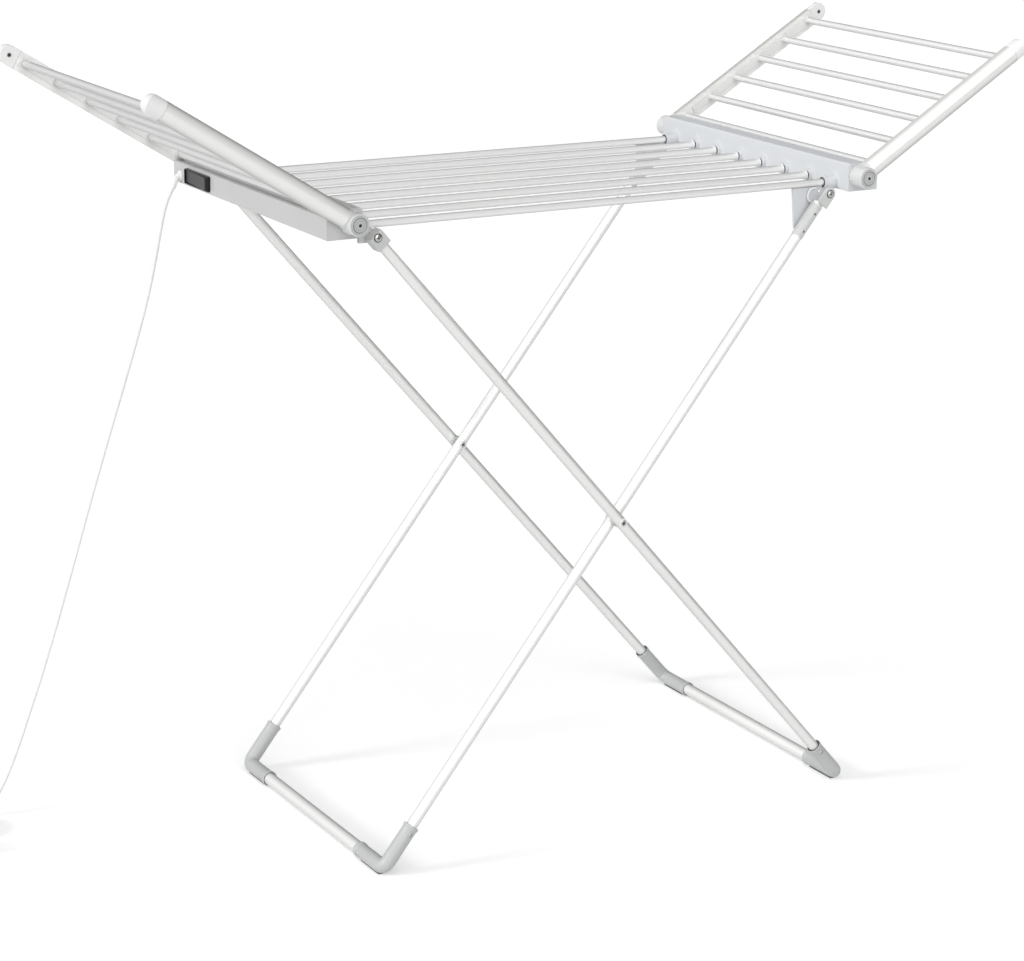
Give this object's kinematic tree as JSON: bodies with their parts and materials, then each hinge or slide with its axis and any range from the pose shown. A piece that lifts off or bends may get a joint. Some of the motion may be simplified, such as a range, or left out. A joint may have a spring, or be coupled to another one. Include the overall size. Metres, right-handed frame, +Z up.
{
  "type": "heated clothes airer",
  "caption": "Folding heated clothes airer: a level top of heated rods, a raised folding wing at each end and crossed leg frames below, with a rocker switch and a mains lead.",
  "frame": {"origin": "on the floor under the middle of the airer, without its lead", "axes": "+X along the airer from the control housing to the plain end, +Y across it to the far side, +Z up"},
  "size_m": [1.561, 0.527, 1.1188],
  "materials": {
    "white_tube": "satin powder coat",
    "heated_tube": "satin powder coat",
    "grey_moulding": "fine satin",
    "light_moulding": "fine satin",
    "black_moulding": "gloss",
    "rocker_grey": "satin",
    "screw_steel": "zinc plated",
    "pad_rubber": "matt",
    "lead_white": "matt",
    "cable_silicone": "matt",
    "terminal_ivory": "matt",
    "pin_brass": "plain",
    "plug_white": "gloss"
  },
  "bodies": {
    "outer_legs": {"crossing_rivets": "screw_steel", "crossing_spacers": "grey_moulding", "outer_crossbar": "white_tube", "outer_elbow_far": "grey_moulding", "outer_elbow_near": "grey_moulding", "outer_elbow_screws": "screw_steel", "outer_foot_pads": "pad_rubber", "outer_leg_blocks": "grey_moulding", "outer_leg_far": "white_tube", "outer_leg_near": "white_tube"},
    "inner_legs": {"inner_crossbar": "white_tube", "inner_elbow_far": "grey_moulding", "inner_elbow_near": "grey_moulding", "inner_elbow_screws": "screw_steel", "inner_foot_pads": "pad_rubber", "inner_leg_far": "white_tube", "inner_leg_near": "white_tube", "inner_leg_sleeves": "grey_moulding"},
    "top_frame": {"centre_rod_1": "heated_tube", "centre_rod_2": "heated_tube", "centre_rod_3": "heated_tube", "centre_rod_4": "heated_tube", "centre_rod_5": "heated_tube", "centre_rod_6": "heated_tube", "centre_rod_7": "heated_tube", "centre_rod_8": "heated_tube", "control_cover": "light_moulding", "control_housing": "light_moulding", "cord_clamp": "terminal_ivory", "cord_coil": "lead_white", "cord_gland": "light_moulding", "cord_lead": "lead_white", "end_cover": "light_moulding", "end_housing": "light_moulding", "heating_cable": "cable_silicone", "hinge_pins": "screw_steel", "hook_plates": "light_moulding", "housing_screws": "screw_steel", "leg_brackets": "light_moulding", "pivot_screws": "screw_steel", "plug_body": "plug_white", "plug_pins": "pin_brass", "rod_bushes": "light_moulding", "switch_bezel": "black_moulding", "switch_body": "black_moulding", "terminal_block": "terminal_ivory", "thermal_cutout": "terminal_ivory"},
    "left_wing": {"left_wing_discs": "light_moulding", "left_wing_knuckles": "grey_moulding", "left_wing_rails": "white_tube", "left_wing_rods": "heated_tube", "left_wing_strips": "light_moulding", "left_wing_tip_caps": "grey_moulding"},
    "right_wing": {"right_wing_discs": "light_moulding", "right_wing_knuckles": "grey_moulding", "right_wing_rails": "white_tube", "right_wing_rods": "heated_tube", "right_wing_strips": "light_moulding", "right_wing_tip_caps": "grey_moulding"},
    "rocker": {"switch_rocker": "rocker_grey"}
  },
  "joints": [
    {"name": "leg_fold", "type": "hinge", "parent": "outer_legs", "child": "inner_legs", "pos_m": [0.02085, 0, 0.47342], "axis": [0, 1, 0], "range_deg": [0, 96]},
    {"name": "top_fold", "type": "hinge", "parent": "outer_legs", "child": "top_frame", "pos_m": [-0.374, 0, 0.915], "axis": [0, 1, 0], "range_deg": [0, 45]},
    {"name": "left_wing_hinge", "type": "hinge", "parent": "top_frame", "child": "left_wing", "pos_m": [-0.409, 0, 0.937], "axis": [0, 1, 0], "range_deg": [0, 142]},
    {"name": "right_wing_hinge", "type": "hinge", "parent": "top_frame", "child": "right_wing", "pos_m": [0.409, 0, 0.937], "axis": [0, -1, 0], "range_deg": [0, 142]},
    {"name": "switch_rock", "type": "hinge", "parent": "top_frame", "child": "rocker", "pos_m": [-0.442, 0.1545, 0.9295], "axis": [0, 0, 1], "range_deg": [0, 8]}
  ],
  "couplings": [
    {"joint": "top_fold", "follows": "leg_fold", "ratio": 0.46}
  ]
}
